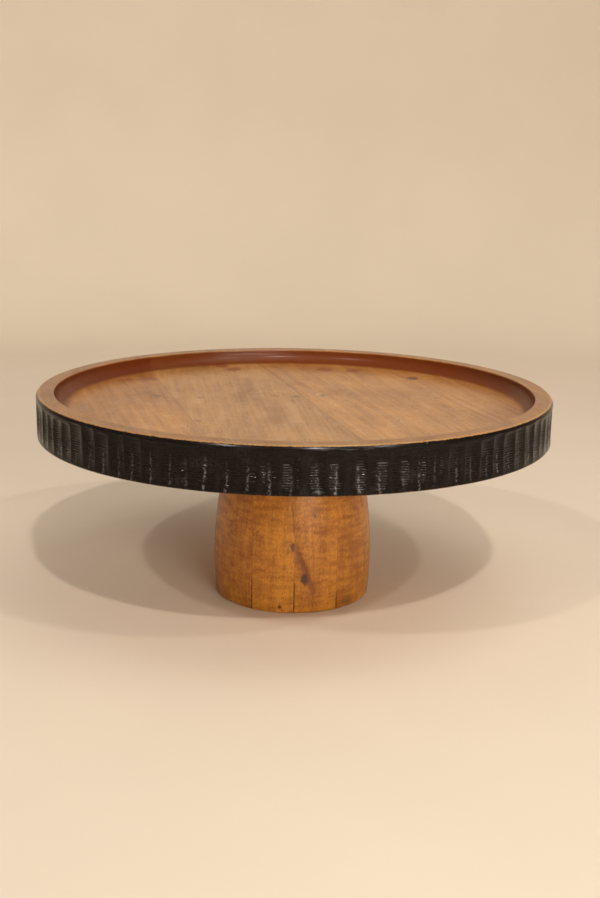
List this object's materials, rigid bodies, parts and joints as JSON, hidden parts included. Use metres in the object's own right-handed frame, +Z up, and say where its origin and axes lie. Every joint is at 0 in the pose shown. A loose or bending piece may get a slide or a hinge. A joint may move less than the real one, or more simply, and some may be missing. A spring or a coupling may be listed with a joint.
{
  "type": "cake stand",
  "caption": "Round wooden cake stand: a lipped plate with a gouged black edge, screwed onto a thick turned foot.",
  "frame": {"origin": "on the table under the middle of the stand", "axes": "+Z up along the foot's axis; -Y is the side the picture was taken from, +X is its right"},
  "size_m": [0.305, 0.305, 0.127],
  "materials": {
    "plate_wood_orange": "satin varnish",
    "plate_wood_olive": "satin varnish",
    "plate_wood_tan": "satin varnish",
    "foot_wood": "satin varnish",
    "zinc_plated_steel": "zinc plated",
    "insert_brass": "plain",
    "washer_rubber": "matt"
  },
  "bodies": {
    "foot": {"foot_board_1": "foot_wood", "foot_board_2": "foot_wood", "foot_board_3": "foot_wood", "foot_board_4": "foot_wood", "hanger_bolt": "zinc_plated_steel"},
    "washer": {"friction_washer": "washer_rubber"},
    "plate": {"plate_board_1": "plate_wood_orange", "plate_board_2": "plate_wood_olive", "plate_board_3": "plate_wood_tan", "plate_board_4": "plate_wood_tan", "threaded_insert": "insert_brass"}
  },
  "joints": [
    {"name": "plate_unscrews", "type": "hinge", "parent": "foot", "child": "washer", "pos_m": [0, 0, 0.1016], "axis": [0, 0, 1], "range_deg": [0, 2880]},
    {"name": "plate_rises", "type": "slide", "parent": "washer", "child": "plate", "axis": [0, 0, 1], "range_m": [0, 0.01]}
  ],
  "couplings": [
    {"joint": "plate_rises", "follows": "plate_unscrews", "m_per_rad": 0.00019894}
  ]
}
